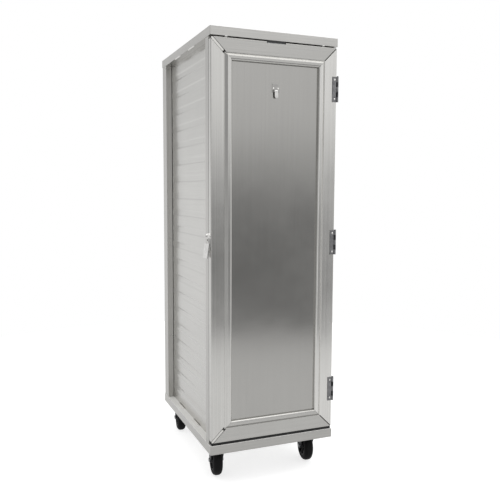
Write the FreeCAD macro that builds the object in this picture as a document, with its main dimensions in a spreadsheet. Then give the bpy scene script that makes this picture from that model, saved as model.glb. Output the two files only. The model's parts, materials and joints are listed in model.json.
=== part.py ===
import FreeCAD, Part
import math
import os
import re
import Sketcher
from FreeCAD import Placement, Rotation, Vector

# Enclosed sheet pan rack: an aluminium cabinet on four swivel casters, with one framed door.
# Millimetres. The origin lies on the floor under the middle of the cabinet, +Z is up, the door
# faces -Y and is hinged on the +X side.

SIZES = {
    # Cabinet over the edges of its roof and base
    "overall_width": 540,
    "overall_depth": 715,
    "overall_height": 1788,
    "deck_height": 177,
    # Base and roof: a sheet on four angle rails
    "base_face": 37,
    "roof_face": 33,
    "deck_sheet": 2,
    "roof_sheet": 2,
    "rail_wall": 3,
    "rail_flange": 40,
    "bolster_width": 120,
    "bolster_thick": 12,
    # Corner posts, side walls and back
    "corner_inset": 2,
    "post_width": 26,
    "front_post_depth": 36,
    "rear_post_depth": 60,
    "post_wall": 3,
    "side_sheet": 1.6,
    "wall_gap": 1.2,
    "bead_depth": 1.4,
    "bead_height": 30,
    "bead_flank": 5,
    "bead_end": 6,
    "back_inset": 4,
    "back_sheet": 1.6,
    "back_rivet_count": 9,
    "back_rivet_margin": 60,
    # Pan runners
    "wall_head_strip": 20,
    "runner_pitch": 76.2,
    "lowest_runner": 72,
    "runner_reach": 28,
    "runner_drop": 18,
    "runner_wall": 2,
    "runner_seat": 1,
    "runner_end_gap": 3,
    # Door frame: hollow mouldings with a lip that rises to a round nose
    "door_thickness": 24,
    "door_side_gap": 0.6,
    "door_top_gap": 4,
    "door_bottom_gap": 10,
    "door_seal_gap": 2,
    "frame_face": 58,
    "flat_width": 54,
    "edge_chamfer": 2,
    "groove_width": 4,
    "groove_depth": 1.5,
    "moulding_width": 26,
    "moulding_rise": 8,
    "nose_radius": 8,
    "nose_flat": 10,
    "lip_back": 5,
    "frame_wall": 2.5,
    "latch_mitre_gap": 8.5,
    "hinge_mitre_gap": 2.5,
    "mitre_fit": 0.1,
    "cut_over": 1,
    "key_leg": 110,
    "key_clear": 0.2,
    "key_rib_drop": 0.8,
    "key_rib_gap": 2.2,
    "panel_sheet": 2,
    "panel_clear": 2,
    "retainer_width": 25,
    "retainer_thick": 3,
    "retainer_gap": 0.5,
    "gasket_width": 12,
    "gasket_thick": 1.5,
    "gasket_inset": 8,
    "sweep_inset": 3,
    "sweep_clear": 0.8,
    # Hinges
    "hinge_height": 100,
    "hinge_spacing": 618,
    "hinge_leaf": 2,
    "hinge_face_leaf": 23,
    "hinge_side_leaf": 60,
    "knuckle_radius": 4.2,
    "knuckle_gap": 0.3,
    "tab_reach": 6.5,
    "hinge_pin_radius": 2.2,
    "pin_clear": 0.05,
    "hinge_pin_head_radius": 3.6,
    "hinge_pin_head": 2.5,
    "hinge_rivet_rise": 38,
    "face_rivet_reach": 12,
    "side_rivet_reach": 44,
    # Rivets
    "rivet_head_radius": 4,
    "rivet_head_height": 1.8,
    "rivet_shank_radius": 2.4,
    "rivet_clear": 0.1,
    # Magnetic catch under the roof and its strike in the door's top edge
    "catch_length": 76,
    "catch_height": 8.5,
    "catch_depth": 16,
    "catch_setback": 2,
    "notch_side_clear": 2,
    "notch_depth": 7,
    "strike_thick": 1.5,
    # Ticket clip on the door panel
    "clip_width": 30,
    "clip_height": 34,
    "clip_drop": 191,
    "clip_sheet": 1.5,
    "clip_pin_rise": 5,
    "clip_pin_reach": 4.5,
    "clip_pin_radius": 1.8,
    "ear_thick": 2,
    "ear_reach": 8.5,
    "ear_half_height": 4.5,
    "ear_gap": 0.3,
    "tongue_width": 14,
    "tongue_side": 22,
    "tongue_end_radius": 7.4,
    "tongue_sheet": 1.5,
    "tongue_knuckle_radius": 3.6,
    "pip_radius": 3,
    "pip_drop": 21,
    "pip_gap": 0.5,
    "clip_rivet_rise": 15,
    "clip_rivet_spread": 10,
    # Drop pull on the door's free edge
    "pull_pin_rise": 17,
    "pull_width": 20,
    "pull_back_plate": 2,
    "pull_back_drop": 24,
    "pull_pin_reach": 6,
    "pull_pin_radius": 1.5,
    "pull_knuckle_radius": 2.8,
    "knob_reach": 19,
    "knob_half_height": 14,
    "knob_half_depth": 10.5,
    "knob_rise": 19,
    "cheek_thick": 3,
    "cheek_top": 10,
    "cheek_drop": 5,
    "cheek_reach": 4,
    "blade_thick": 3,
    "blade_top_drop": 10,
    "blade_drop": 66,
    "blade_flare": 8,
    "blade_width": 52,
    "pull_rivet_drop": 15,
    # Stitch welds
    "weld_radius": 2.8,
    "weld_length": 90,
    "roof_weld_pitch": 200,
    "roof_weld_first": -110,
    "roof_weld_count": 2,
    "tack_length": 12,
    "tack_spread": 206,
    "foot_weld_radius": 4,
    "foot_weld_pitch": 228,
    "foot_weld_first": -82,
    "foot_weld_count": 2,
    # Casters
    "caster_inset_side": 62,
    "caster_inset_front": 93.5,
    "caster_inset_rear": 83.5,
    "caster_turn": 171.8,
    "caster_lead": 37.3,
    "plate_length": 95,
    "plate_width": 68,
    "plate_thick": 4,
    "plate_bolt_length": 76,
    "plate_bolt_width": 52,
    "bolt_radius": 4,
    "bolt_clear": 0.2,
    "bolt_head_radius": 7,
    "bolt_head_height": 5,
    "kingpin_radius": 6,
    "kingpin_head_radius": 10,
    "kingpin_head": 5,
    "race_gap": 0.4,
    "crown_radius": 30,
    "crown_height": 12,
    "leg_gap": 22.5,
    "leg_thick": 4,
    "leg_front": 16,
    "leg_rear": 22,
    "leg_overlap": 2.4,
    "leg_front_depth": 9,
    "leg_end_half": 14,
    "leg_end_radius": 14.5,
    "axle_radius": 5,
    "axle_head_radius": 8,
    "axle_head": 4,
    "wheel_radius": 63,
    "tyre_width": 40,
    "tyre_depth": 20,
    "tyre_shoulder": 16,
    "hub_half": 18,
    "hub_web_half": 10,
    "hub_web_inner": 14,
    "hub_web_outer": 37,
    "hub_boss_radius": 10,
    "hub_boss_gap": 0.3,
}

# Planes and levels that several pieces share, written in the sizes above
HALF_WIDTH = "overall_width / 2"
HALF_DEPTH = "overall_depth / 2"
ROOF_UNDER = "(overall_height - roof_face)"
POST_OUTER = "(overall_width / 2 - corner_inset)"
POST_INNER = "(overall_width / 2 - corner_inset - post_width)"
POST_FRONT = "(door_thickness + door_seal_gap - overall_depth / 2)"
POST_REAR = "(overall_depth / 2 - back_inset - back_sheet)"
BODY_HEIGHT = f"({ROOF_UNDER} - deck_height)"
BODY_DEPTH = f"({POST_REAR} - {POST_FRONT})"
WALL_OUTER = f"({POST_INNER} - wall_gap)"
RUNNER_WALL_FACE = f"({WALL_OUTER} - bead_depth - side_sheet)"
BEAD_LIP = "(lowest_runner + runner_seat + bead_flank - bead_height)"
FIRST_CELL = f"({BEAD_LIP} - (runner_pitch - bead_height) / 2)"
RUNNER_COUNT = f"floor(({BODY_HEIGHT} - {FIRST_CELL} - wall_head_strip) / runner_pitch)"
DOOR_EDGE = "(overall_width / 2 - corner_inset - door_side_gap)"
DOOR_BOTTOM = "(deck_height + door_bottom_gap)"
DOOR_TOP = f"({ROOF_UNDER} - door_top_gap)"
DOOR_HEIGHT = f"({DOOR_TOP} - {DOOR_BOTTOM})"
LIP_EDGE = "(flat_width + groove_width + moulding_width)"
PANEL_FRONT = "(lip_back - overall_depth / 2)"
PANEL_BACK = "(lip_back + panel_sheet - overall_depth / 2)"
HINGE_X = f"({POST_OUTER} + hinge_leaf + knuckle_gap)"
HINGE_Y = "(-overall_depth / 2 - hinge_leaf)"
HINGE_MIDDLE = f"(({DOOR_BOTTOM} + {DOOR_TOP}) / 2)"
KNUCKLE_COUNT = 5
CLIP_PIN_Y = f"({PANEL_FRONT} - clip_sheet - clip_pin_reach)"
CLIP_BOTTOM = f"({DOOR_TOP} - clip_drop)"
CLIP_PIN_Z = f"({CLIP_BOTTOM} + clip_pin_rise)"
PULL_Y = "(door_thickness / 2 - overall_depth / 2)"
PULL_PIN_X = f"(-{DOOR_EDGE} - pull_pin_reach)"
PULL_PIN_Z = f"({HINGE_MIDDLE} + pull_pin_rise)"
CASTER_X = "(overall_width / 2 - caster_inset_side)"
CASTER_FRONT_Y = "(caster_inset_front - overall_depth / 2)"
CASTER_REAR_Y = "(overall_depth / 2 - caster_inset_rear)"
RAIL_UNDER = "(deck_height - deck_sheet - rail_wall)"
PLATE_TOP = f"({RAIL_UNDER} - bolster_thick)"
PLATE_UNDER = f"({PLATE_TOP} - plate_thick)"
CROWN_TOP = f"({PLATE_UNDER} - race_gap)"
CROWN_UNDER = f"({CROWN_TOP} - crown_height)"
KINGPIN_END = f"({CROWN_UNDER} - race_gap - kingpin_head)"

# How a shape drawn along +Z is turned to point the way its name says
TURNS = {
    "+X": Rotation(Vector(0, 1, 0), 90),
    "-X": Rotation(Vector(0, 1, 0), -90),
    "+Y": Rotation(Vector(1, 0, 0), -90),
    "-Y": Rotation(Vector(1, 0, 0), 90),
    "+Z": Rotation(),
}

doc = FreeCAD.newDocument("sheet_pan_rack")
sheet = doc.addObject("Spreadsheet::Sheet", "Dims")
for row, (alias, size) in enumerate(SIZES.items(), start=1):
    sheet.set(f"A{row}", alias)
    sheet.set(f"B{row}", str(size))
    sheet.setAlias(f"B{row}", alias)
doc.recompute()

nodes = []


def bound(text):
    """A size expression with every size written as its cell in the sheet."""
    return re.sub(r"[a-z][a-z_]*", lambda word: f"Dims.{word[0]}" if word[0] in SIZES else word[0], text)


def value(text):
    """The present value of a size expression."""
    return float(sheet.evalExpression(bound(text)))


def node(label, piece):
    """Names a finished sub-part and puts it on the list that is written out."""
    piece.Label = label
    nodes.append(piece)
    return piece


def put(piece, x="0", y="0", z="0", rotation=Rotation()):
    """Places a piece, with its position bound to size expressions."""
    piece.Placement = Placement(Vector(), rotation)
    for axis, text in zip("xyz", (x, y, z)):
        piece.setExpression(f"Placement.Base.{axis}", bound(text))
    return piece


def block(x, y, z):
    """A box between two bounds on each axis."""
    box = doc.addObject("Part::Box", "Block")
    for side, (low, high) in zip(("Length", "Width", "Height"), (x, y, z)):
        box.setExpression(side, bound(f"({high}) - ({low})"))
    return put(box, x[0], y[0], z[0])


def rod(x, y, z, way, radius, length, sweep=360):
    """A cylinder from a point, along the axis that its way names."""
    cylinder = doc.addObject("Part::Cylinder", "Rod")
    cylinder.setExpression("Radius", bound(radius))
    cylinder.setExpression("Height", bound(length))
    cylinder.Angle = sweep
    return put(cylinder, x, y, z, TURNS[way])


def fuse(*pieces):
    joined = doc.addObject("Part::MultiFuse", "Fuse")
    joined.Shapes = list(pieces)
    return joined


def cut(base, *tools):
    """A piece with one or more tools taken out of it."""
    result = doc.addObject("Part::Cut", "Cut")
    result.Base = base
    result.Tool = tools[0] if len(tools) == 1 else fuse(*tools)
    return result


def group(pieces):
    """Separate solids kept together as one sub-part."""
    gathered = doc.addObject("Part::Compound", "Group")
    gathered.Links = list(pieces)
    return gathered


def new_body():
    return doc.addObject("PartDesign::Body", "Body")


def origin_feature(body, role):
    return next(feature for feature in body.Origin.OriginFeatures if feature.Role == role)


def sketch_on(body, plane, offset="0"):
    """An empty sketch on one of the body's own planes, moved along the plane's normal."""
    sketch = body.newObject("Sketcher::SketchObject", "Sketch")
    sketch.AttachmentSupport = [(origin_feature(body, plane), "")]
    sketch.MapMode = "FlatFace"
    sketch.setExpression("AttachmentOffset.Base.z", bound(offset))
    return sketch


def add_bound(sketch, constraints):
    """Adds pairs of a constraint and the size expression that drives it, if it has one."""
    indices = sketch.addConstraint([constraint for constraint, text in constraints])
    for index, (constraint, text) in zip(indices, constraints):
        if text is not None:
            sketch.setExpression(f"Constraints[{index}]", bound(text))


def fixed_point(geometry, point, x, y):
    """Constraints that hold a sketch point at a pair of size expressions."""
    return [
        (Sketcher.Constraint("DistanceX", -1, 1, geometry, point, value(x)), x),
        (Sketcher.Constraint("DistanceY", -1, 1, geometry, point, value(y)), y),
    ]


def arc_between(start, end, radius, turn):
    """The shorter arc from start to end; turn is 1 where it runs anticlockwise and -1 where clockwise."""
    chord = end - start
    rise = math.sqrt(radius**2 - (chord.Length / 2) ** 2)
    left = Vector(-chord.y, chord.x, 0).normalize()
    centre = (start + end) / 2 + left * rise * turn
    first, last = (start, end) if turn > 0 else (end, start)
    angles = [math.atan2(point.y - centre.y, point.x - centre.x) for point in (first, last)]
    return Part.ArcOfCircle(Part.Circle(centre, Vector(0, 0, 1), radius), *angles)


def draw(sketch, corners, turn=1):
    """A closed outline through corners (x, y), or (x, y, radius) where an arc leads to the corner."""
    points = [Vector(value(corner[0]), value(corner[1]), 0) for corner in corners]
    first = sketch.GeometryCount
    count = len(corners)
    starts, ends, constraints = [], [], []
    for index in range(count):
        start, end = points[index], points[(index + 1) % count]
        arrival = corners[(index + 1) % count]
        geometry = first + index
        if len(arrival) == 3:
            sketch.addGeometry(arc_between(start, end, value(arrival[2]), turn))
            constraints.append((Sketcher.Constraint("Radius", geometry, value(arrival[2])), arrival[2]))
            forward = turn > 0
        else:
            sketch.addGeometry(Part.LineSegment(start, end))
            forward = True
        starts.append(1 if forward else 2)
        ends.append(2 if forward else 1)
    for index in range(count):
        after = (index + 1) % count
        joint = Sketcher.Constraint("Coincident", first + index, ends[index], first + after, starts[after])
        constraints.append((joint, None))
        constraints += fixed_point(first + index, starts[index], *corners[index][:2])
    add_bound(sketch, constraints)


def draw_circle(sketch, x, y, radius):
    geometry = sketch.GeometryCount
    sketch.addGeometry(Part.Circle(Vector(value(x), value(y), 0), Vector(0, 0, 1), value(radius)))
    size = (Sketcher.Constraint("Radius", geometry, value(radius)), radius)
    add_bound(sketch, fixed_point(geometry, 3, x, y) + [size])


def rectangle(x, y):
    """Corners of a rectangle between two bounds each way."""
    return [(x[0], y[0]), (x[1], y[0]), (x[1], y[1]), (x[0], y[1])]


def pad(body, sketch, length, back=False, both=False):
    """Thickens a sketch along its plane's normal, against it, or half each way."""
    feature = body.newObject("PartDesign::Pad", "Pad")
    feature.Profile = sketch
    feature.setExpression("Length", bound(length))
    feature.Reversed = back
    feature.Midplane = both
    return feature


def cut_through(body, sketch):
    """Cuts a sketch through the whole body, both ways."""
    feature = body.newObject("PartDesign::Pocket", "Pocket")
    feature.Profile = sketch
    feature.Type = "ThroughAll"
    feature.Midplane = True
    return feature


def repeat(body, feature, axis, spacing, count):
    """Repeats a feature along one of the body's axes."""
    pattern = body.newObject("PartDesign::LinearPattern", "Pattern")
    pattern.Originals = [feature]
    pattern.Direction = (origin_feature(body, axis), [""])
    pattern.setExpression("Length", bound(f"({spacing}) * ({count} - 1)"))
    pattern.setExpression("Occurrences", bound(count))
    body.Tip = pattern
    return pattern


def spin(body, sketch):
    """Turns a sketch fully round the body's X axis."""
    feature = body.newObject("PartDesign::Revolution", "Revolution")
    feature.Profile = sketch
    feature.ReferenceAxis = (origin_feature(body, "X_Axis"), [""])
    feature.Angle = 360
    return feature


def rivet(x, y, z, way, grip):
    """A domed rivet seated at a point, its head facing one way and its shank running in by the grip."""
    axis = "XYZ".index(way[1])
    outward = way[0]
    inward = "-" if outward == "+" else "+"
    ball = "((rivet_head_radius ^ 2 + rivet_head_height ^ 2) / (2 * rivet_head_height))"
    centre = [x, y, z]
    centre[axis] = f"{centre[axis]} {inward} ({ball} - rivet_head_height)"
    dome = doc.addObject("Part::Sphere", "Dome")
    dome.setExpression("Radius", bound(ball))
    dome.setExpression("Angle1", bound(f"asin(1 - rivet_head_height / {ball})"))
    put(dome, *centre, TURNS[way])
    foot = [x, y, z]
    foot[axis] = f"{foot[axis]} {inward} ({grip})"
    return fuse(dome, rod(*foot, way, "rivet_shank_radius", grip))


def signed(sign, text):
    """A size expression on the plus or minus side."""
    return text if sign > 0 else f"-({text})"


def make_rails():
    """Angle rails of the base, flange up, and of the roof, flange down, mitred at the corners."""
    upright = [
        ("0", "0"),
        ("rail_wall", "0"),
        ("rail_wall", "H - rail_wall"),
        ("rail_flange", "H - rail_wall"),
        ("rail_flange", "H"),
        ("0", "H"),
    ]
    hanging = [
        ("0", "0"),
        ("rail_flange", "0"),
        ("rail_flange", "rail_wall"),
        ("rail_wall", "rail_wall"),
        ("rail_wall", "H"),
        ("0", "H"),
    ]
    base = ("base_rail", upright, "(base_face - deck_sheet)", "deck_height - base_face")
    roof = ("roof_rail", hanging, "(roof_face - roof_sheet)", ROOF_UNDER)
    ends = ("front", "YZ_Plane", -1), ("rear", "YZ_Plane", 1)
    sides = ("left", "XZ_Plane", -1), ("right", "XZ_Plane", 1)
    for name, outline, height, level in (base, roof):
        for side, plane, sign in ends + sides:
            along_x = plane == "YZ_Plane"
            across, along = (HALF_DEPTH, HALF_WIDTH) if along_x else (HALF_WIDTH, HALF_DEPTH)
            body = new_body()
            profile = sketch_on(body, plane)
            draw(profile, [(signed(sign, f"{across} - {o}"), z.replace("H", height)) for o, z in outline])
            pad(body, profile, f"2 * {along}", both=True)
            mitres = sketch_on(body, "XY_Plane")
            for end in (-1, 1):
                corners = []
                for s, o in (("0", "0"), ("0", "rail_flange"), ("rail_flange", "rail_flange")):
                    corners.append((signed(end, f"{along} - {s}"), signed(sign, f"{across} - {o}")))
                draw(mitres, corners if along_x else [corner[::-1] for corner in corners])
            cut_through(body, mitres)
            node(f"{name}_{side}", put(body, z=level))


def make_base_and_roof_sheets():
    plan = (f"-{HALF_WIDTH}", HALF_WIDTH), (f"-{HALF_DEPTH}", HALF_DEPTH)
    node("floor_sheet", block(*plan, ("deck_height - deck_sheet", "deck_height")))
    node("top_sheet", block(*plan, ("overall_height - roof_sheet", "overall_height")))


def make_posts():
    """Hollow corner posts between the floor sheet and the roof rails."""
    for end, y_edges in (("front", (POST_FRONT, f"{POST_FRONT} + front_post_depth")),
                         ("rear", (f"{POST_REAR} - rear_post_depth", POST_REAR))):
        for side, sign in (("left", -1), ("right", 1)):
            body = new_body()
            section = sketch_on(body, "XY_Plane")
            draw(section, rectangle((signed(sign, POST_INNER), signed(sign, POST_OUTER)), y_edges))
            hollow_x = f"{POST_INNER} + post_wall", f"{POST_OUTER} - post_wall"
            hollow_y = f"{y_edges[0]} + post_wall", f"{y_edges[1]} - post_wall"
            draw(section, rectangle([signed(sign, x) for x in hollow_x], hollow_y))
            pad(body, section, BODY_HEIGHT)
            node(f"post_{end}_{side}", put(body, z="deck_height"))


def make_walls():
    """Side walls with one pressed bead behind each pan runner, and plain strips along all four edges."""
    bend = "(side_sheet * (sqrt(bead_depth ^ 2 + bead_flank ^ 2) - bead_flank) / bead_depth)"
    last = f"({FIRST_CELL} + {RUNNER_COUNT} * runner_pitch)"
    front_strip, rear_strip = "(front_post_depth + bead_end)", "(rear_post_depth + bead_end)"
    outer = [
        ("0", FIRST_CELL),
        ("0", BEAD_LIP),
        ("bead_depth", f"{BEAD_LIP} + bead_flank"),
        ("bead_depth", f"{BEAD_LIP} + bead_height - bead_flank"),
        ("0", f"{BEAD_LIP} + bead_height"),
        ("0", f"{FIRST_CELL} + runner_pitch"),
    ]
    inner = [
        ("side_sheet", f"{FIRST_CELL} + runner_pitch"),
        ("side_sheet", f"{BEAD_LIP} + bead_height + {bend}"),
        ("bead_depth + side_sheet", f"{BEAD_LIP} + bead_height - bead_flank + {bend}"),
        ("bead_depth + side_sheet", f"{BEAD_LIP} + bead_flank - {bend}"),
        ("side_sheet", f"{BEAD_LIP} - {bend}"),
        ("side_sheet", FIRST_CELL),
    ]
    for side, sign in (("left", -1), ("right", 1)):
        body = new_body()
        cell = sketch_on(body, "XZ_Plane", f"-{front_strip}")
        draw(cell, [(signed(sign, f"{WALL_OUTER} - ({o})"), z) for o, z in outer + inner])
        beads = pad(body, cell, f"{BODY_DEPTH} - {front_strip} - {rear_strip}", back=True)
        repeat(body, beads, "Z_Axis", "runner_pitch", RUNNER_COUNT)
        edges = signed(sign, WALL_OUTER), signed(sign, f"{WALL_OUTER} - side_sheet")
        for start, depth, low, high in (
            ("0", BODY_DEPTH, "0", FIRST_CELL),
            ("0", BODY_DEPTH, last, BODY_HEIGHT),
            ("0", front_strip, FIRST_CELL, last),
            (f"({BODY_DEPTH} - {rear_strip})", rear_strip, FIRST_CELL, last),
        ):
            strip = sketch_on(body, "XZ_Plane", f"-{start}")
            draw(strip, rectangle(edges, (low, high)))
            pad(body, strip, depth, back=True)
        node(f"side_wall_{side}", put(body, y=POST_FRONT, z="deck_height"))


def make_runners():
    """Angle runners, flange on top, one on each bead."""
    for side, sign in (("left", -1), ("right", 1)):
        body = new_body()
        section = sketch_on(body, "XZ_Plane")
        outline = [
            ("0", "-runner_drop"),
            ("0", "0"),
            ("runner_reach", "0"),
            ("runner_reach", "-runner_wall"),
            ("runner_wall", "-runner_wall"),
            ("runner_wall", "-runner_drop"),
        ]
        draw(section, [(signed(sign, f"{RUNNER_WALL_FACE} - {o}"), z) for o, z in outline])
        runner = pad(body, section, f"{BODY_DEPTH} - 2 * runner_end_gap", back=True)
        repeat(body, runner, "Z_Axis", "runner_pitch", RUNNER_COUNT)
        put(body, y=f"{POST_FRONT} + runner_end_gap", z="deck_height + lowest_runner")
        node(f"pan_runners_{side}", body)


def back_rivet_places():
    """Rivet columns of the back panel, over the middle of each rear post."""
    column = f"({POST_INNER} + post_width / 2)"
    spacing = f"(({BODY_HEIGHT} - 2 * back_rivet_margin) / (back_rivet_count - 1))"
    return column, spacing


def make_back():
    column, spacing = back_rivet_places()
    body = new_body()
    face = sketch_on(body, "XZ_Plane")
    draw(face, rectangle((f"-{POST_OUTER}", POST_OUTER), ("0", BODY_HEIGHT)))
    pad(body, face, "back_sheet", back=True)
    holes = sketch_on(body, "XZ_Plane")
    for sign in (-1, 1):
        draw_circle(holes, signed(sign, column), "back_rivet_margin", "rivet_shank_radius + rivet_clear")
    repeat(body, cut_through(body, holes), "Z_Axis", spacing, "back_rivet_count")
    node("back_panel", put(body, y=POST_REAR, z="deck_height"))


def make_frame_rivets():
    """Rivets of the back panel and of the hinges' leaves on the post."""
    column, spacing = back_rivet_places()
    rivets = []
    for sign in (-1, 1):
        for step in range(int(value("back_rivet_count"))):
            height = f"deck_height + back_rivet_margin + {step} * {spacing}"
            seat = signed(sign, column), f"{POST_REAR} + back_sheet", height
            rivets.append(rivet(*seat, "+Y", "back_sheet"))
    for middle in hinge_levels():
        for sign in ("-", "+"):
            height = f"{middle} {sign} hinge_rivet_rise"
            seat = f"{POST_OUTER} + hinge_leaf", f"{HINGE_Y} + side_rivet_reach", height
            rivets.append(rivet(*seat, "+X", "hinge_leaf"))
    node("frame_rivets", group(rivets))


def make_welds():
    """Half-round stitch welds under the roof's edge and at the foot of the walls."""
    beads = []
    for sign in (-1, 1):
        edge = signed(sign, f"{HALF_WIDTH} - weld_radius")
        for step in range(int(value("roof_weld_count"))):
            start = f"roof_weld_first + {step} * roof_weld_pitch - weld_length / 2"
            beads.append(rod(edge, start, ROOF_UNDER, "+Y", "weld_radius", "weld_length", 180))
        foot = signed(sign, f"{WALL_OUTER} + foot_weld_radius")
        for step in range(int(value("foot_weld_count"))):
            end = f"foot_weld_first + {step} * foot_weld_pitch + weld_length / 2"
            beads.append(rod(foot, end, "deck_height", "-Y", "foot_weld_radius", "weld_length", 180))
        tack = rod("0", "0", "0", "+Z", "weld_radius", "tack_length", 180)
        below = Rotation(Vector(0, -1, 0), Vector(0, 0, -1), Vector(1, 0, 0), "ZXY")
        start = f"{signed(sign, 'tack_spread')} - tack_length / 2"
        beads.append(put(tack, start, f"weld_radius - {HALF_DEPTH}", ROOF_UNDER, below))
    node("stitch_welds", group(beads))


def moulding(turned):
    """The door moulding's outline, from its outer edge inwards and from its front face back."""
    outline = [
        ("0", "door_thickness"),
        ("0", "edge_chamfer"),
        ("edge_chamfer", "0"),
        ("flat_width", "0"),
        ("flat_width + groove_width / 2", "groove_depth"),
        ("flat_width + groove_width", "0"),
        (f"{LIP_EDGE} - nose_radius - nose_flat", "-moulding_rise"),
        (f"{LIP_EDGE} - nose_radius", "-moulding_rise"),
        (LIP_EDGE, "nose_radius - moulding_rise", "nose_radius"),
        (LIP_EDGE, "lip_back"),
        ("frame_face", "lip_back"),
        ("frame_face", "door_thickness"),
    ]
    hollow_depth = "frame_wall", "door_thickness - frame_wall"
    hollow = rectangle(("frame_wall", "flat_width - frame_wall"), hollow_depth)
    return [[(*turned(*corner[:2]), *corner[2:]) for corner in loop] for loop in (outline, hollow)]


def mitre_cut(side):
    """What a mitre takes off: wide at the hollow box, so that the corner key shows, and close at the lip."""
    gap = "latch_mitre_gap" if side < 0 else "hinge_mitre_gap"
    return [
        ("-cut_over", "-cut_over"),
        (f"{gap} - cut_over", "-cut_over"),
        (f"flat_width + {gap}", "flat_width"),
        ("flat_width + mitre_fit", "flat_width"),
        (f"{LIP_EDGE} + mitre_fit + cut_over", f"{LIP_EDGE} + cut_over"),
        ("-cut_over", f"{LIP_EDGE} + cut_over"),
    ]


def make_stile(label, sign):
    """An upright of the door frame."""
    body = new_body()
    section = sketch_on(body, "XY_Plane")
    for loop in moulding(lambda u, d: (signed(sign, f"{DOOR_EDGE} - ({u})"), f"{d} - {HALF_DEPTH}")):
        draw(section, loop, turn=-sign)
    pad(body, section, DOOR_HEIGHT)
    mitres = sketch_on(body, "XZ_Plane")
    for level in ("{}", DOOR_HEIGHT + " - ({})"):
        draw(mitres, [(signed(sign, f"{DOOR_EDGE} - ({u})"), level.format(s)) for s, u in mitre_cut(sign)])
    cut_through(body, mitres)
    node(label, put(body, z=DOOR_BOTTOM))


def make_door_rail(label, sign, level, notch=None):
    """A cross rail of the door frame, with a notch for the catch where it has one."""
    body = new_body()
    section = sketch_on(body, "YZ_Plane")
    for loop in moulding(lambda u, d: (f"{d} - {HALF_DEPTH}", signed(sign, u))):
        draw(section, loop, turn=-sign)
    pad(body, section, f"2 * {DOOR_EDGE}", both=True)
    mitres = sketch_on(body, "XZ_Plane")
    for end in (-1, 1):
        draw(mitres, [(signed(end, f"{DOOR_EDGE} - ({s})"), signed(sign, u)) for s, u in mitre_cut(end)])
    if notch:
        draw(mitres, notch)
    cut_through(body, mitres)
    node(label, put(body, z=level))


def make_door_frame():
    make_stile("door_latch_stile", -1)
    make_stile("door_hinge_stile", 1)
    make_door_rail("door_bottom_rail", 1, DOOR_BOTTOM)
    half = "catch_length / 2 + notch_side_clear"
    notch = rectangle((f"-({half})", half), ("-notch_depth", "cut_over"))
    make_door_rail("door_top_rail", -1, DOOR_TOP, notch)
    keys = []
    near, far = "(frame_wall + key_clear)", "(flat_width - frame_wall - key_clear)"
    depth = f"{near} - {HALF_DEPTH}", f"door_thickness - {near} - {HALF_DEPTH}"
    half = "(latch_mitre_gap - key_rib_gap)"
    outline = [
        (near, near),
        (f"{near} + {half}", near),
        (far, f"{far} - {half}"),
        (far, far),
        (f"{far} - {half}", far),
        (near, f"{near} + {half}"),
    ]
    for sign in (-1, 1):
        for level, up in ((DOOR_BOTTOM, "+"), (DOOR_TOP, "-")):
            legs = []
            for s, u in ((far, "key_leg"), ("key_leg", far)):
                x = signed(sign, f"{DOOR_EDGE} - {near}"), signed(sign, f"{DOOR_EDGE} - {s}")
                z = f"{level} {up} {near}", f"{level} {up} {u}"
                legs.append(block(sorted(x, key=value), depth, sorted(z, key=value)))
            if sign < 0:
                rib = new_body()
                strip = sketch_on(rib, "XZ_Plane")
                draw(strip, [(f"{s} - {DOOR_EDGE}", f"{up}({u})") for s, u in outline])
                pad(rib, strip, f"{near} - key_rib_drop", back=True)
                legs.append(put(rib, y=f"key_rib_drop - {HALF_DEPTH}", z=level))
            keys.append(fuse(*legs))
    node("door_corner_keys", group(keys))


def make_door_panel():
    """The panel, the bars that hold it behind the lips, the gaskets on the stiles and the sweep below."""
    side = f"({DOOR_EDGE} - frame_face - panel_clear)"
    low, high = f"{DOOR_BOTTOM} + frame_face + panel_clear", f"{DOOR_TOP} - frame_face - panel_clear"
    node("door_panel", block((f"-{side}", side), (PANEL_FRONT, PANEL_BACK), (low, high)))
    edge = f"({DOOR_EDGE} - frame_face - retainer_gap)"
    low, high = f"({DOOR_BOTTOM} + frame_face + retainer_gap)", f"({DOOR_TOP} - frame_face - retainer_gap)"
    depth = PANEL_BACK, f"{PANEL_BACK} + retainer_thick"
    inner = f"({edge} - retainer_width)"
    bars = [
        block((f"-{edge}", f"-{inner}"), depth, (low, high)),
        block((inner, edge), depth, (low, high)),
        block((f"-{inner}", inner), depth, (low, f"{low} + retainer_width")),
        block((f"-{inner}", inner), depth, (f"{high} - retainer_width", high)),
    ]
    node("panel_retainers", group(bars))
    back = f"(door_thickness - {HALF_DEPTH})"
    outer = f"({DOOR_EDGE} - gasket_inset)"
    inner = f"({outer} - gasket_width)"
    span = f"{DOOR_BOTTOM} + key_leg", f"{DOOR_TOP} - key_leg"
    depth = back, f"{back} + gasket_thick"
    strips = [block(x, depth, span) for x in ((f"-{outer}", f"-{inner}"), (inner, outer))]
    end = f"({DOOR_EDGE} - sweep_inset)"
    depth = f"sweep_inset - {HALF_DEPTH}", f"{back} - sweep_inset"
    strips.append(block((f"-{end}", end), depth, ("deck_height + sweep_clear", DOOR_BOTTOM)))
    node("door_gaskets", group(strips))


def hinge_levels():
    """Heights of the hinges' middles, from the lowest up."""
    return [f"({HINGE_MIDDLE} {offset} hinge_spacing)" for offset in ("- 1 *", "+ 0 *", "+ 1 *")]


def knuckle_span(middle, index):
    """Bottom and length of one knuckle, counted from the hinge's lower end."""
    bottom = f"({middle} - hinge_height / 2 + {index} * hinge_height / {KNUCKLE_COUNT} + knuckle_gap / 2)"
    return bottom, f"(hinge_height / {KNUCKLE_COUNT} - knuckle_gap)"


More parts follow.
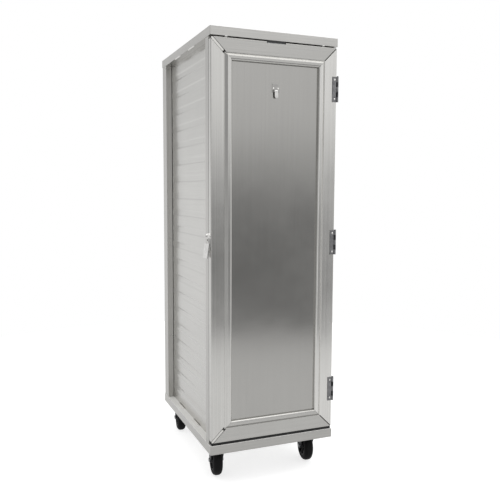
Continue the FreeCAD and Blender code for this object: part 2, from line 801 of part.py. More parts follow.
def make_hinges():
    """Butt hinges: the door leaf on the face, the other leaf on the side of the post."""
    face_leaves, side_leaves, pins = [], [], []
    face = HINGE_Y, f"{HINGE_Y} + hinge_leaf"
    side = POST_OUTER, f"{POST_OUTER} + hinge_leaf"
    for middle in hinge_levels():
        span = f"{middle} - hinge_height / 2", f"{middle} + hinge_height / 2"
        plate = block((f"{HINGE_X} - hinge_face_leaf", f"{HINGE_X} - tab_reach"), face, span)
        face_solids = [plate]
        side_solids = [block(side, (f"{HINGE_Y} + tab_reach", f"{HINGE_Y} + hinge_side_leaf"), span)]
        for index in range(KNUCKLE_COUNT):
            bottom, length = knuckle_span(middle, index)
            knuckle = rod(HINGE_X, HINGE_Y, bottom, "+Z", "knuckle_radius", length)
            height = bottom, f"{bottom} + {length}"
            if index % 2 == 0:
                face_solids += [knuckle, block((f"{HINGE_X} - tab_reach", HINGE_X), face, height)]
            else:
                side_solids += [knuckle, block(side, (HINGE_Y, f"{HINGE_Y} + tab_reach"), height)]
        bore = HINGE_X, HINGE_Y, span[0], "+Z", "hinge_pin_radius + pin_clear", "hinge_height"
        hole = "rivet_shank_radius + rivet_clear"
        face_holes, side_holes = [rod(*bore)], [rod(*bore)]
        for sign in ("-", "+"):
            height = f"{middle} {sign} hinge_rivet_rise"
            face_holes.append(rod(f"{HINGE_X} - face_rivet_reach", face[0], height, "+Y", hole, "hinge_leaf"))
            side_holes.append(rod(side[0], f"{HINGE_Y} + side_rivet_reach", height, "+X", hole, "hinge_leaf"))
        face_leaves.append(cut(fuse(*face_solids), *face_holes))
        side_leaves.append(cut(fuse(*side_solids), *side_holes))
        shaft = rod(HINGE_X, HINGE_Y, span[0], "+Z", "hinge_pin_radius", "hinge_height + knuckle_gap")
        head_level = f"{span[1]} + knuckle_gap"
        head = rod(HINGE_X, HINGE_Y, head_level, "+Z", "hinge_pin_head_radius", "hinge_pin_head")
        pins.append(fuse(shaft, head))
    node("hinge_face_leaves", group(face_leaves))
    node("hinge_side_leaves", group(side_leaves))
    node("hinge_pins", group(pins))


def make_door_rivets():
    """Rivets of the hinges' face leaves, the ticket clip and the pull."""
    rivets = []
    for middle in hinge_levels():
        for sign in ("-", "+"):
            seat = f"{HINGE_X} - face_rivet_reach", HINGE_Y, f"{middle} {sign} hinge_rivet_rise"
            rivets.append(rivet(*seat, "-Y", "hinge_leaf"))
    for sign in (-1, 1):
        height = f"{CLIP_BOTTOM} + clip_rivet_rise"
        seat = signed(sign, "clip_rivet_spread"), f"{PANEL_FRONT} - clip_sheet", height
        rivets.append(rivet(*seat, "-Y", "clip_sheet"))
    seat = f"-{DOOR_EDGE} - pull_back_plate", PULL_Y, f"{PULL_PIN_Z} - pull_rivet_drop"
    rivets.append(rivet(*seat, "-X", "pull_back_plate"))
    node("door_rivets", group(rivets))


def make_catch():
    """A magnetic catch hung under the roof's front rail, over a steel strike in the door's top edge."""
    length = "-catch_length / 2", "catch_length / 2"
    front = f"catch_setback - {HALF_DEPTH}"
    depth = front, f"{front} + catch_depth"
    node("catch_magnet", block(length, depth, (f"{ROOF_UNDER} - catch_height", ROOF_UNDER)))
    floor = f"{DOOR_TOP} - notch_depth"
    thickness = f"-{HALF_DEPTH}", f"door_thickness - {HALF_DEPTH}"
    node("catch_strike", block(length, thickness, (floor, f"{floor} + strike_thick")))


def make_clip():
    """A ticket clip: a plate with two ears, and a tongue that hangs on a pin between them."""
    plate_face = f"({PANEL_FRONT} - clip_sheet)"
    width = "-clip_width / 2", "clip_width / 2"
    solids = [block(width, (plate_face, PANEL_FRONT), (CLIP_BOTTOM, f"{CLIP_BOTTOM} + clip_height"))]
    near = "(tongue_width / 2 + ear_gap)"
    ear_z = f"{CLIP_PIN_Z} - ear_half_height", f"{CLIP_PIN_Z} + ear_half_height"
    for x in ((f"-{near} - ear_thick", f"-{near}"), (near, f"{near} + ear_thick")):
        solids.append(block(x, (f"{plate_face} - ear_reach", plate_face), ear_z))
    end = f"({near} + ear_thick)"
    holes = [rod(f"-{end}", CLIP_PIN_Y, CLIP_PIN_Z, "+X", "clip_pin_radius + pin_clear", f"2 * {end}")]
    for sign in (-1, 1):
        place = signed(sign, "clip_rivet_spread"), plate_face, f"{CLIP_BOTTOM} + clip_rivet_rise"
        holes.append(rod(*place, "+Y", "rivet_shank_radius + rivet_clear", "clip_sheet"))
    node("clip_plate", cut(fuse(*solids), *holes))
    pin = rod(f"-{end} - ear_gap", CLIP_PIN_Y, CLIP_PIN_Z, "+X", "clip_pin_radius", f"2 * ({end} + ear_gap)")
    node("clip_pin", pin)
    half = "tongue_width / 2"
    knuckle = rod(f"-{half}", CLIP_PIN_Y, CLIP_PIN_Z, "+X", "tongue_knuckle_radius", "tongue_width")
    body = new_body()
    outline = sketch_on(body, "XZ_Plane")
    corners = [
        (f"-{half}", "0"),
        (f"-{half}", "-tongue_side"),
        (half, "-tongue_side", "tongue_end_radius"),
        (half, "0"),
    ]
    draw(outline, corners)
    pad(body, outline, "tongue_sheet", back=True)
    front = f"({CLIP_PIN_Y} - tongue_knuckle_radius)"
    put(body, y=front, z=CLIP_PIN_Z)
    pip_length = f"{PANEL_FRONT} - pip_gap - {front}"
    pip = rod("0", front, f"{CLIP_PIN_Z} - pip_drop", "+Y", "pip_radius", pip_length)
    bore = rod(f"-{half}", CLIP_PIN_Y, CLIP_PIN_Z, "+X", "clip_pin_radius + pin_clear", "tongue_width")
    node("clip_tongue", cut(fuse(knuckle, body, pip), bore))


def make_pull():
    """A drop pull: a bracket with an oval knob on the door's edge, and a flared plate hung on its pin."""
    face = f"(-{DOOR_EDGE})"
    near, far = f"({PULL_Y} - pull_width / 2)", f"({PULL_Y} + pull_width / 2)"
    plate_z = f"{PULL_PIN_Z} - pull_back_drop", f"{PULL_PIN_Z} + cheek_top"
    knob = doc.addObject("Part::Ellipsoid", "Knob")
    for number, size in enumerate(("knob_reach", "knob_half_height", "knob_half_depth"), start=1):
        knob.setExpression(f"Radius{number}", bound(size))
    knob.Angle1 = 0
    put(knob, face, PULL_Y, f"{PULL_PIN_Z} + knob_rise", TURNS["-X"])
    solids = [block((f"{face} - pull_back_plate", face), (near, far), plate_z), knob]
    cheek_x = f"{PULL_PIN_X} - cheek_reach", face
    cheek_z = f"{PULL_PIN_Z} - cheek_drop", f"{PULL_PIN_Z} + cheek_top"
    for y in ((near, f"{near} + cheek_thick"), (f"{far} - cheek_thick", far)):
        solids.append(block(cheek_x, y, cheek_z))
    bore = rod(PULL_PIN_X, near, PULL_PIN_Z, "+Y", "pull_pin_radius + pin_clear", "pull_width")
    hole_place = f"{face} - pull_back_plate", PULL_Y, f"{PULL_PIN_Z} - pull_rivet_drop"
    hole = rod(*hole_place, "+X", "rivet_shank_radius + rivet_clear", "pull_back_plate")
    node("pull_bracket", cut(fuse(*solids), bore, hole))
    node("pull_pin", rod(PULL_PIN_X, near, PULL_PIN_Z, "+Y", "pull_pin_radius", "pull_width"))
    eye_y = f"({near} + cheek_thick + ear_gap)", f"({far} - cheek_thick - ear_gap)"
    eye_length = "(pull_width - 2 * cheek_thick - 2 * ear_gap)"
    eye = rod(PULL_PIN_X, eye_y[0], PULL_PIN_Z, "+Y", "pull_knuckle_radius", eye_length)
    neck_x = f"{PULL_PIN_X} - blade_thick / 2", f"{PULL_PIN_X} + blade_thick / 2"
    neck = block(neck_x, eye_y, (f"{PULL_PIN_Z} - blade_top_drop - blade_thick", PULL_PIN_Z))
    blade = new_body()
    section = sketch_on(blade, "XZ_Plane")
    corners = [
        ("-blade_thick / 2", "-blade_top_drop"),
        ("blade_thick / 2", "-blade_top_drop"),
        ("blade_thick / 2 - blade_flare", "-blade_drop"),
        ("-blade_thick / 2 - blade_flare", "-blade_drop"),
    ]
    draw(section, corners)
    pad(blade, section, "blade_width", back=True)
    put(blade, PULL_PIN_X, near, PULL_PIN_Z)
    bore = rod(PULL_PIN_X, eye_y[0], PULL_PIN_Z, "+Y", "pull_pin_radius + pin_clear", eye_length)
    node("pull_plate", cut(fuse(eye, neck, blade), bore))


def caster_places():
    """Name and plan place of each caster."""
    ends = (("front", CASTER_FRONT_Y), ("rear", CASTER_REAR_Y))
    sides = (("left", -1), ("right", 1))
    return [(f"{end}_{side}", signed(x, CASTER_X), y) for end, y in ends for side, x in sides]


def bolt_offsets():
    """The four bolts of a caster's plate, from its middle."""
    across, along = "plate_bolt_width / 2", "plate_bolt_length / 2"
    return [(signed(x, across), signed(y, along)) for x in (-1, 1) for y in (-1, 1)]


def make_bolsters():
    """Flat bars across the base that the casters are bolted to."""
    bars = []
    for middle in (CASTER_FRONT_Y, CASTER_REAR_Y):
        body = new_body()
        plan = sketch_on(body, "XY_Plane")
        side = f"{HALF_WIDTH} - rail_wall"
        depth = f"{middle} - bolster_width / 2", f"{middle} + bolster_width / 2"
        draw(plan, rectangle((f"-({side})", side), depth))
        for x in (-1, 1):
            for across, along in bolt_offsets():
                centre = f"{signed(x, CASTER_X)} + ({across})", f"{middle} + ({along})"
                draw_circle(plan, *centre, "bolt_radius + bolt_clear")
        pad(body, plan, "bolster_thick")
        bars.append(put(body, z=PLATE_TOP))
    node("caster_bolsters", group(bars))


def make_caster_plates():
    """Top plates with their kingpins, and the bolts that hold them to the bolsters."""
    plates, bolts = [], []
    for name, x, y in caster_places():
        body = new_body()
        plan = sketch_on(body, "XY_Plane", PLATE_UNDER)
        half_x, half_y = "plate_width / 2", "plate_length / 2"
        draw(plan, rectangle((f"-{half_x}", half_x), (f"-{half_y}", half_y)))
        for across, along in bolt_offsets():
            draw_circle(plan, across, along, "bolt_radius + bolt_clear")
        pad(body, plan, "plate_thick")
        pin = "kingpin_radius", f"{PLATE_UNDER} - {KINGPIN_END}"
        pin_head = "kingpin_head_radius", "kingpin_head"
        for radius, length in (pin, pin_head):
            circle = sketch_on(body, "XY_Plane", KINGPIN_END)
            draw_circle(circle, "0", "0", radius)
            pad(body, circle, length)
        plates.append(put(body, x, y))
        for across, along in bolt_offsets():
            centre = f"{x} + ({across})", f"{y} + ({along})"
            head = doc.addObject("Part::Prism", "Head")
            head.Polygon = 6
            head.setExpression("Circumradius", bound("bolt_head_radius"))
            head.setExpression("Height", bound("bolt_head_height"))
            put(head, *centre, f"{PLATE_UNDER} - bolt_head_height")
            grip = "plate_thick + bolster_thick"
            bolts.append(fuse(head, rod(*centre, PLATE_UNDER, "+Z", "bolt_radius", grip)))
    node("caster_plates", group(plates))
    node("caster_bolts", group(bolts))


def make_fork(name, x, y):
    """A caster's swivel head with its two legs, which trail towards -Y before the caster is turned."""
    body = new_body()
    crown = sketch_on(body, "XY_Plane", CROWN_UNDER)
    draw_circle(crown, "0", "0", "crown_radius")
    draw_circle(crown, "0", "0", "kingpin_radius + pin_clear")
    pad(body, crown, "crown_height")
    top = f"{CROWN_UNDER} + leg_overlap"
    for side in ("leg_gap", "-leg_gap - leg_thick"):
        leg = sketch_on(body, "YZ_Plane", side)
        corners = [
            ("leg_front", top),
            ("-leg_rear", top),
            ("-caster_lead - leg_end_half", "wheel_radius"),
            ("leg_end_half - caster_lead", "wheel_radius", "leg_end_radius"),
            ("leg_front", f"{CROWN_UNDER} - leg_front_depth"),
        ]
        draw(leg, corners)
        draw_circle(leg, "-caster_lead", "wheel_radius", "axle_radius + pin_clear")
        pad(body, leg, "leg_thick")
    turn = Rotation(Vector(0, 0, 1), value("caster_turn"))
    node(f"caster_fork_{name}", put(body, x, y, rotation=turn))


def wheel_piece(label, outline, x, y, turn=1):
    """A turned piece on a caster's axle, drawn as distance along the axle and radius."""
    body = new_body()
    profile = sketch_on(body, "XY_Plane")
    draw(profile, outline, turn)
    spin(body, profile)
    centre = f"{x} + caster_lead * sin(caster_turn)", f"{y} - caster_lead * cos(caster_turn)", "wheel_radius"
    node(label, put(body, *centre, Rotation(Vector(0, 0, 1), value("caster_turn"))))


def make_wheel(name, x, y):
    """Axle with its heads, hub with bosses that run beside the legs, and tyre with round shoulders."""
    end = "(leg_gap + leg_thick)"
    axle = [
        (f"-{end} - axle_head", "0"),
        (f"-{end} - axle_head", "axle_head_radius"),
        (f"-{end}", "axle_head_radius"),
        (f"-{end}", "axle_radius"),
        (end, "axle_radius"),
        (end, "axle_head_radius"),
        (f"{end} + axle_head", "axle_head_radius"),
        (f"{end} + axle_head", "0"),
    ]
    wheel_piece(f"caster_axle_{name}", axle, x, y)
    rim = "(wheel_radius - tyre_depth)"
    boss = "(leg_gap - hub_boss_gap)"
    half = [
        (boss, "axle_radius + pin_clear"),
        (boss, "hub_boss_radius"),
        ("hub_web_half", "hub_web_inner"),
        ("hub_web_half", "hub_web_outer"),
        ("hub_half", "hub_web_outer"),
        ("hub_half", rim),
    ]
    hub = half + [(f"-{along}", radius) for along, radius in reversed(half)]
    wheel_piece(f"caster_hub_{name}", hub, x, y)
    side = "(tyre_width / 2)"
    tyre = [
        (f"-{side}", rim),
        (side, rim),
        (side, "wheel_radius - tyre_shoulder"),
        (f"{side} - tyre_shoulder", "wheel_radius", "tyre_shoulder"),
        (f"tyre_shoulder - {side}", "wheel_radius"),
        (f"-{side}", "wheel_radius - tyre_shoulder", "tyre_shoulder"),
    ]
    wheel_piece(f"caster_tyre_{name}", tyre, x, y)


def check(piece_list):
    """Stops the run where an object failed, a shape is unsound or a pocket took nothing away."""
    for thing in doc.Objects:
        if "Invalid" in thing.State or "Error" in thing.State:
            raise RuntimeError(f"{thing.Name} ({thing.Label}) is {thing.State}")
        if thing.TypeId == "PartDesign::Pocket" and thing.Shape.Volume >= thing.BaseFeature.Shape.Volume:
            raise RuntimeError(f"{thing.Name} of {thing.getParentGeoFeatureGroup().Label} cuts nothing")
    for piece in piece_list:
        shape = piece.Shape
        if shape.isNull() or not shape.isValid() or not shape.Solids:
            raise RuntimeError(f"{piece.Label} has no sound shape")


make_rails()
make_base_and_roof_sheets()
make_posts()
make_walls()
make_runners()
make_back()
make_frame_rivets()
make_welds()
make_door_frame()
make_door_panel()
make_hinges()
make_door_rivets()
make_catch()
make_clip()
make_pull()
make_bolsters()
make_caster_plates()
for place in caster_places():
    make_fork(*place)
    make_wheel(*place)

doc.recompute()
check(nodes)
os.makedirs("parts", exist_ok=True)
for piece in nodes:
    piece.Shape.exportStep(f"parts/{piece.Label}.step")
print(len(nodes), "sub-parts written")
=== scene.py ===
import json
import math

import bmesh
import bpy
from mathutils import Matrix, Vector


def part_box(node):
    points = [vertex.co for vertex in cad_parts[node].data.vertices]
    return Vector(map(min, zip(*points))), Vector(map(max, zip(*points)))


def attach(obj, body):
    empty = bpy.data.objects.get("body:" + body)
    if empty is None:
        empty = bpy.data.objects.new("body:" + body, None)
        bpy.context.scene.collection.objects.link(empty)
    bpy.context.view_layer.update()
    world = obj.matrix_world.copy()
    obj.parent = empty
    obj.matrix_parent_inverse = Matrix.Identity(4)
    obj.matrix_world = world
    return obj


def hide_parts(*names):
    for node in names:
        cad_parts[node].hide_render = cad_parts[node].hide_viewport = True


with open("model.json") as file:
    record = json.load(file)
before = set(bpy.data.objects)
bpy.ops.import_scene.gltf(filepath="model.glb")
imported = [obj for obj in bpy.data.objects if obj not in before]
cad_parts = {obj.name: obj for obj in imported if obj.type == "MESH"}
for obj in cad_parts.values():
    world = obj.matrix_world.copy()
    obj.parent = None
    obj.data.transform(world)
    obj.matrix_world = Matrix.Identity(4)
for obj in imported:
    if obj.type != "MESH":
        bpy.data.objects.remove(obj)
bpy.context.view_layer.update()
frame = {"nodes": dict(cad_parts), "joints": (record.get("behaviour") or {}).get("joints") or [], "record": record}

# The enclosed sheet pan rack as it stands in a white studio: finishes for every piece, the pieces
# whose made surface the plain solids lack, and the light. Metres; one millimetre is MM.
MM = 0.001
AXES = "XYZ"
NODES = frame["nodes"]
CASTERS = ("front_left", "front_right", "rear_left", "rear_right")
BODIES = frame["record"]["behaviour"]["bodies"]
BODY_OF = {node: body for body, nodes in BODIES.items() for node in nodes}
SLOT_OF = {part["node"]: part["material_slot"] for part in frame["record"]["subparts"]}

# Faces that meet at less than FLAT are one face, and at more than SHARP they make a sharp edge.
FLAT, SHARP = math.radians(0.5), math.radians(40)
# Eased edges turn in smaller steps, so only what is still sharper than this is left a crease.
EASED_SHARP = math.radians(60)
# Points nearer to each other than these are one: in a copied solid, and in a turned shape.
COPIED_JOIN, TURNED_JOIN = 0.01 * MM, 0.001 * MM

WHITE, BLACK = [1, 1, 1, 1], [0, 0, 0, 1]
# A noise keeps mostly between these two values.
NOISE_LOW, NOISE_HIGH = 0.3, 0.7
# Drawn and rolled lines are this many times longer than wide.
LINE_STRETCH = 200
# Handling and oxide leave patches about a hand wide, thin sheet swells and sinks over about a
# quarter of a metre, and dust gathers in patches a few fingers wide.
HAND_MM, SWELL_MM, DUST_MM = 140, 240, 35

# How much of the studio's white each place has. ROUND_ROOM and WALL_PLACE go once round the rack,
# in parts of a full turn, from the back by way of the left, the front and the right. WALL_PLACE
# says where the darker wall before the door stands. UPWARDS and DOOR_WALL go up from just under
# the horizon, each between its own two heights, which are sines of the angle above the horizon.
FULL_TURN = (-math.pi, math.pi)
ROUND_ROOM = {0.001: 0.92, 0.14: 0.92, 0.22: 0.5, 0.40: 0.46, 0.44: 1.0, 0.49: 1.0, 0.53: 0.85,
              0.62: 0.85, 0.68: 1.0, 0.9: 1.0, 0.999: 0.92}
WALL_PLACE = {0.495: 0.0, 0.53: 1.0, 0.575: 1.0, 0.60: 0.6, 0.65: 0.0}
ROOM_HEIGHTS = (-0.2, 0.6)
UPWARDS = {0.25: 1.0, 0.5: 0.82}
DOOR_WALL_HEIGHTS = (-0.2, 0.2)
DOOR_WALL = {0.001: 0.36, 0.15: 0.27, 0.36: 0.28, 0.44: 0.40, 0.54: 0.48, 0.64: 0.74, 0.76: 1.0}
# Between these heights the walls give way to a white ceiling.
CEILING_HEIGHTS = (0.25, 0.6)

# The floor's disc, and how much it is lifted towards white for each kind of ray.
FLOOR_RADIUS, FLOOR_CORNERS = 2.9, 96
FLOOR_LIFT = {"Is Camera Ray": 0.72, "Is Glossy Ray": 0.36, "Is Transmission Ray": 0.36}

# Soft square lamps: each one's place, what it is aimed at, its width, and its power in watts.
LAMPS = {
    "overhead_softbox": ((1.0, -0.9, 3.4), (0, -0.2, 0.9), 2.2, 24),
    "side_softbox": ((2.7, 0.6, 1.15), (0, -0.3, 1.15), 1.8, 5),
    "left_softbox": ((-1.7, 0.2, 3.2), (-0.2, 0, 0.6), 1.6, 10),
}

# The camera, solved from the rack's corners and edges: its place, how far it is turned to the
# right, down and round its own axis in degrees, and its lens and picture width in millimetres.
CAMERA_PLACE = (-1.0318, -2.6417, 1.1791)
CAMERA_TURNS = (22.054, 5.344, 0.256)
LENS_LENGTH, PICTURE_WIDTH = 45.575, 36


def linear(colour):
    """Linear RGBA of an sRGB hex colour."""
    channels = [int(colour[i:i + 2], 16) / 255 for i in (1, 3, 5)]
    return [c / 12.92 if c <= 0.04045 else ((c + 0.055) / 1.055) ** 2.4 for c in channels] + [1.0]


def add(tree, kind, sockets, **settings):
    """Adds a node with its settings; each socket gets a value or a link from another node."""
    made = tree.nodes.new(kind)
    for name, setting in settings.items():
        setattr(made, name, setting)
    for name, source in sockets.items():
        if isinstance(source, bpy.types.NodeSocket):
            tree.links.new(source, made.inputs[name])
        else:
            made.inputs[name].default_value = source
    return made


def new_material(name):
    """An empty node material, its tree and its output."""
    material = bpy.data.materials.new(name)
    material.use_nodes = True
    tree = material.node_tree
    tree.nodes.clear()
    return material, tree, add(tree, "ShaderNodeOutputMaterial", {})


def pattern_at(tree, size_mm):
    """Object coordinates scaled so that one unit of a pattern is the given size along X, Y, Z."""
    place = add(tree, "ShaderNodeTexCoord", {})
    scale = [1 / (size * MM) for size in size_mm]
    sockets = {"Vector": place.outputs["Object"], "Scale": scale}
    return add(tree, "ShaderNodeMapping", sockets).outputs["Vector"]


def drawn_aluminium(name, axis, colour, roughness, streak_mm=2.5, streak=0.05, bloom=0.06,
                    wave_mm=0.0, metallic=1.0, by_depth=None):
    """Mill-finish aluminium: faint lines along the way it was drawn or rolled, a cloudy oxide
    bloom, and a slow wave where it is thin sheet. by_depth gives two depths, in Y, and the colour
    that the metal turns to on the way from the first to the second."""
    material, tree, output = new_material(name)
    grain = [streak_mm * LINE_STRETCH if letter == axis else streak_mm for letter in AXES]
    lines = add(tree, "ShaderNodeTexNoise", {
        "Vector": pattern_at(tree, grain), "Scale": 1.0, "Detail": 2.0})
    patches = add(tree, "ShaderNodeTexNoise", {
        "Vector": pattern_at(tree, [HAND_MM] * 3), "Scale": 1.0, "Detail": 4.0})
    shade = add(tree, "ShaderNodeMapRange", {
        "Value": lines.outputs["Fac"], "From Min": NOISE_LOW, "From Max": NOISE_HIGH,
        "To Min": 1 - streak, "To Max": 1.0})
    veil = add(tree, "ShaderNodeMapRange", {
        "Value": patches.outputs["Fac"], "From Min": NOISE_LOW, "From Max": NOISE_HIGH,
        "To Min": 1 - bloom, "To Max": 1.0})
    tone = add(tree, "ShaderNodeMath", {
        0: shade.outputs["Result"], 1: veil.outputs["Result"]}, operation="MULTIPLY")
    tint = add(tree, "ShaderNodeMix", {
        "Factor": tone.outputs["Value"], "A": BLACK, "B": linear(colour)}, data_type="RGBA")
    if by_depth:
        first, second, other_colour = by_depth
        place = add(tree, "ShaderNodeTexCoord", {})
        depth = add(tree, "ShaderNodeSeparateXYZ", {"Vector": place.outputs["Object"]})
        change = add(tree, "ShaderNodeMapRange", {
            "Value": depth.outputs["Y"], "From Min": first, "From Max": second})
        tint = add(tree, "ShaderNodeMix", {
            "Factor": change.outputs["Result"], "A": tint.outputs["Result"],
            "B": linear(other_colour)}, data_type="RGBA")
    # The paler patches are a little duller.
    sheen = add(tree, "ShaderNodeMapRange", {
        "Value": patches.outputs["Fac"], "From Min": NOISE_LOW, "From Max": NOISE_HIGH,
        "To Min": roughness - 0.03, "To Max": roughness + 0.03})
    relief = add(tree, "ShaderNodeBump", {
        "Height": lines.outputs["Fac"], "Strength": 0.05, "Distance": 0.03 * MM})
    if wave_mm:
        swell = add(tree, "ShaderNodeTexNoise", {
            "Vector": pattern_at(tree, [SWELL_MM] * 3), "Scale": 1.0, "Detail": 0.0})
        relief = add(tree, "ShaderNodeBump", {
            "Height": swell.outputs["Fac"], "Strength": 1.0, "Distance": wave_mm * MM,
            "Normal": relief.outputs["Normal"]})
    surface = add(tree, "ShaderNodeBsdfPrincipled", {
        "Base Color": tint.outputs["Result"], "Metallic": metallic,
        "Roughness": sheen.outputs["Result"], "Normal": relief.outputs["Normal"]})
    tree.links.new(surface.outputs["BSDF"], output.inputs["Surface"])
    return material


def plated_steel(name, colour, worn_colour, roughness, patch_mm):
    """Steel with a thin plating or scale, which varies in patches and is rubbed bright in
    places."""
    material, tree, output = new_material(name)
    patches = add(tree, "ShaderNodeTexNoise", {
        "Vector": pattern_at(tree, [patch_mm] * 3), "Scale": 1.0, "Detail": 5.0, "Roughness": 0.6})
    worn = add(tree, "ShaderNodeMapRange", {
        "Value": patches.outputs["Fac"], "From Min": 0.35, "From Max": 0.72})
    tint = add(tree, "ShaderNodeMix", {
        "Factor": worn.outputs["Result"], "A": linear(colour), "B": linear(worn_colour)},
        data_type="RGBA")
    # What is rubbed bright is smoother too.
    sheen = add(tree, "ShaderNodeMapRange", {
        "Value": patches.outputs["Fac"], "From Min": NOISE_LOW, "From Max": NOISE_HIGH,
        "To Min": roughness + 0.06, "To Max": roughness - 0.06})
    relief = add(tree, "ShaderNodeBump", {
        "Height": patches.outputs["Fac"], "Strength": 0.1, "Distance": 0.1 * MM})
    surface = add(tree, "ShaderNodeBsdfPrincipled", {
        "Base Color": tint.outputs["Result"], "Metallic": 1.0,
        "Roughness": sheen.outputs["Result"], "Normal": relief.outputs["Normal"]})
    tree.links.new(surface.outputs["BSDF"], output.inputs["Surface"])
    return material


def moulded(name, colour, dusty_colour, roughness, grain_mm, relief_mm, gloss=0.4):
    """Moulded rubber or plastic: a fine pebble from the mould, and a little pale dust."""
    material, tree, output = new_material(name)
    grain = add(tree, "ShaderNodeTexNoise", {
        "Vector": pattern_at(tree, [grain_mm] * 3), "Scale": 1.0, "Detail": 3.0})
    dust = add(tree, "ShaderNodeTexNoise", {
        "Vector": pattern_at(tree, [DUST_MM] * 3), "Scale": 1.0, "Detail": 6.0})
    # At its thickest the dust covers six tenths.
    cover = add(tree, "ShaderNodeMapRange", {
        "Value": dust.outputs["Fac"], "From Min": 0.42, "From Max": 0.75, "To Max": 0.6})
    tint = add(tree, "ShaderNodeMix", {
        "Factor": cover.outputs["Result"], "A": linear(colour), "B": linear(dusty_colour)},
        data_type="RGBA")
    # Dust takes the shine off.
    sheen = add(tree, "ShaderNodeMapRange", {
        "Value": dust.outputs["Fac"], "From Min": NOISE_LOW, "From Max": NOISE_HIGH,
        "To Min": roughness - 0.06, "To Max": roughness + 0.08})
    relief = add(tree, "ShaderNodeBump", {
        "Height": grain.outputs["Fac"], "Strength": 0.35, "Distance": relief_mm * MM})
    surface = add(tree, "ShaderNodeBsdfPrincipled", {
        "Base Color": tint.outputs["Result"], "Roughness": sheen.outputs["Result"],
        "Specular IOR Level": gloss, "Normal": relief.outputs["Normal"]})
    tree.links.new(surface.outputs["BSDF"], output.inputs["Surface"])
    return material


def dress(material, *names):
    """Gives a finish to every node whose name starts with one of these."""
    for name, piece in NODES.items():
        if name.startswith(names):
            for slot in piece.material_slots:
                slot.material = material


def finish_nodes():
    """The finish of each CAD node. A later finish takes the place of an earlier one."""
    # Extruded and folded aluminium: satin, pale grey, its lines run along each length.
    # The lines are drawn 2 to 5 mm wide: the real ones, near 0.2 mm, are too fine to show.
    # The base's front and rear rails are painted a shade darker than the sides: a painted shade.
    for name, axis, colour, nodes in (
        ("mill_aluminium_across", "X", "#c6c5c2", ("roof_rail_front", "roof_rail_rear")),
        ("shaded_base_aluminium", "X", "#b4b3b0", ("base_rail_front", "base_rail_rear")),
        ("mill_aluminium_along", "Y", "#c4c3c0",
         ("base_rail_left", "base_rail_right", "roof_rail_left", "roof_rail_right", "top_sheet")),
        ("mill_aluminium_upright", "Z", "#c0bfbc", ("post_", "back_panel")),
    ):
        dress(drawn_aluminium(name, axis, colour, roughness=0.30, streak_mm=4.0, streak=0.08),
              *nodes)
    # Floor sheet: scuffed by feet and brooms until it scatters the light from above. Its pale
    # colour is partly the scuffing and partly painted light on its top.
    dress(drawn_aluminium("scuffed_and_lightened_aluminium", "Y", "#f0efec", roughness=0.6, metallic=0.3),
          "floor_sheet")
    # Rolled wall sheet and runners: a little brighter, its lines lie level and it waves faintly.
    dress(drawn_aluminium("rolled_aluminium", "Y", "#cccbc8", roughness=0.22, wave_mm=0.15),
          "side_wall", "pan_runners")
    # Door mouldings: smoother extrusions that show the room as soft bands. The hinge stile is
    # painted lighter and the top and bottom rails darker: painted light and painted shade.
    dress(drawn_aluminium("extruded_aluminium", "Z", "#d1d0cd", roughness=0.20, streak_mm=5.0,
                          streak=0.1), "door_latch_stile", "panel_retainers")
    dress(drawn_aluminium("painted_light_extruded_aluminium", "Z", "#dcdbd8", roughness=0.20,
                          streak_mm=5.0, streak=0.1), "door_hinge_stile")
    dress(drawn_aluminium("painted_shade_extruded_aluminium", "X", "#bbbab7", roughness=0.22,
                          streak_mm=4.0, streak=0.07), "door_top_rail", "door_bottom_rail")
    # Door panel: rolled upright, a shade darker, with a slow wave.
    dress(drawn_aluminium("panel_aluminium", "Z", "#afaeab", roughness=0.17, streak_mm=2.0,
                          bloom=0.04, wave_mm=0.3), "door_panel")
    # Corner keys: sawn bar, pale on the ribs that fill the open mitres and painted dark deeper
    # in beside them, a painted shade in the recess.
    rib_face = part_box("door_corner_keys")[0][1]
    recess_shade = rib_face + 0.5 * MM, rib_face + 1 * MM, "#3b3a37"
    dress(drawn_aluminium("sawn_aluminium", "X", "#e2e1dd", roughness=0.36, streak_mm=3.0,
                          bloom=0.15, by_depth=recess_shade), "door_corner_keys")
    # Rivets: headed aluminium, smooth and clean.
    dress(drawn_aluminium("rivet_aluminium", "Z", "#e2e1de", roughness=0.24, streak_mm=4.0),
          "frame_rivets", "door_rivets")
    # Hinges: dull grey steel under a thin dark scale. The leaves round the corner are painted
    # much darker: a painted shade.
    dress(plated_steel("hinge_steel", "#747476", "#969697", roughness=0.42, patch_mm=16),
          "hinge_")
    dress(plated_steel("shaded_hinge_steel", "#39393b", "#59595b", roughness=0.45, patch_mm=16),
          "hinge_side_leaves")
    # Clip and pull: bright plated steel, the clip's plate duller from many tickets.
    dress(plated_steel("bright_plated_steel", "#cfcecc", "#e2e1de", roughness=0.24, patch_mm=22),
          "clip_", "pull_")
    dress(plated_steel("rubbed_plated_steel", "#a3a2a0", "#bcbbb8", roughness=0.32, patch_mm=14),
          "clip_plate")
    # Casters' metal, bolsters and strike: zinc plate with a faint spangle.
    dress(plated_steel("zinc_plated_steel", "#8b8d90", "#aeb0b0", roughness=0.38, patch_mm=9),
          "caster_", "catch_strike")
    # Forks: zinc plate that has gone dark with floor dirt.
    dress(plated_steel("soiled_zinc_plate", "#333436", "#5e5f61", roughness=0.45, patch_mm=12),
          "caster_fork")
    # Magnet case: dark moulded plastic.
    dress(moulded("magnet_case_plastic", "#2c2c2d", "#454545", roughness=0.5, grain_mm=0.8,
                  relief_mm=0.05), "catch_magnet")
    # Gaskets: soft black rubber, matte.
    dress(moulded("gasket_rubber", "#1b1b1c", "#2c2c2c", roughness=0.75, grain_mm=1.0,
                  relief_mm=0.08), "door_gaskets")
    # Wheel hubs: black moulded polypropylene with a dull gloss.
    dress(moulded("hub_polypropylene", "#151517", "#2c2c2e", roughness=0.42, grain_mm=1.2,
                  relief_mm=0.05), "caster_hub")


